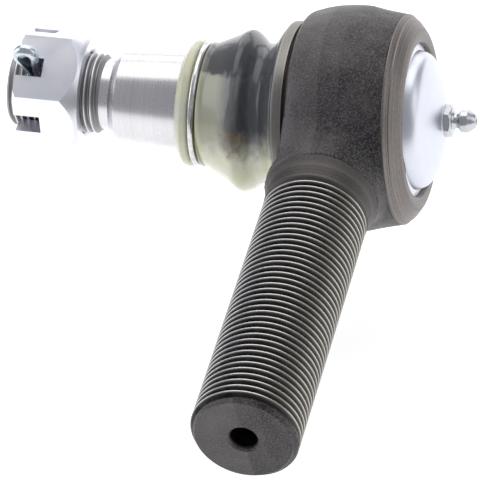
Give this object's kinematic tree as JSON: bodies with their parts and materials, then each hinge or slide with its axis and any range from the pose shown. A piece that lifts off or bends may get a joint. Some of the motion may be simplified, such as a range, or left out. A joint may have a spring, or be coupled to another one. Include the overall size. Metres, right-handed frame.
{
  "type": "tie rod end",
  "caption": "Heavy-duty tie rod end: forged ball socket on a threaded shank, tapered stud with slotted nut and pin, dust boot, domed cap and grease fitting.",
  "frame": {"origin": "centre of the ball", "axes": "+X along the socket axis towards the end cap, -Y along the threaded shank, +Z completes the frame; the stud stands 5.4 degrees off -X, nut end raised towards +Z"},
  "size_m": [0.1309, 0.157, 0.062],
  "materials": {
    "forged_steel": "dark shot-blasted forging, machined thread and lip",
    "stud_steel": "turned and ground, satin",
    "seat_resin": "moulded acetal bearing seat",
    "spring_steel": "oiled spring wire",
    "zinc_cap": "bright zinc plate",
    "zinc_nut": "satin zinc plate",
    "fitting_steel": "bright zinc plate",
    "ball_steel": "polished",
    "boot_urethane": "glossy translucent pale yellow polyurethane",
    "ring_steel": "bright wire",
    "retainer_steel": "pressed steel band, satin",
    "pin_steel": "half-round zinc-plated wire"
  },
  "bodies": {
    "socket": {"housing": "forged_steel", "upper_seat": "seat_resin", "end_cap": "zinc_cap", "grease_fitting": "fitting_steel", "boot_retaining_ring": "retainer_steel", "preload_spring": "spring_steel", "check_spring": "spring_steel"},
    "boot": {"dust_boot": "boot_urethane"},
    "collar": {"boot_neck_ring": "ring_steel"},
    "stud": {"ball_stud": "stud_steel", "slotted_nut": "zinc_nut", "cotter_pin": "pin_steel"},
    "seat": {"lower_seat": "seat_resin"},
    "valve": {"check_ball": "ball_steel"}
  },
  "joints": [
    {"name": "stud_swing", "type": "hinge", "parent": "socket", "child": "boot", "pos_m": [0, 0, 0], "axis": [0, 1, 0], "range_deg": [-21.4, 10.6], "deforming": ["dust_boot"]},
    {"name": "stud_rock", "type": "hinge", "parent": "boot", "child": "collar", "pos_m": [0, 0, 0], "axis": [0.0941, 0, 0.9956], "range_deg": [-16, 16]},
    {"name": "stud_spin", "type": "hinge", "parent": "collar", "child": "stud", "pos_m": [0, 0, 0], "axis": [0.9956, 0, -0.0941], "continuous": true},
    {"name": "seat_float", "type": "slide", "parent": "socket", "child": "seat", "axis": [1, 0, 0], "range_m": [0, 0.0008], "stiffness_N_per_m": 60000, "springref_m": -0.001, "deforming": ["preload_spring"]},
    {"name": "check_ball_lift", "type": "slide", "parent": "socket", "child": "valve", "axis": [-1, 0, 0], "range_m": [0, 0.0008], "stiffness_N_per_m": 300, "springref_m": -0.001, "deforming": ["check_spring"]}
  ]
}
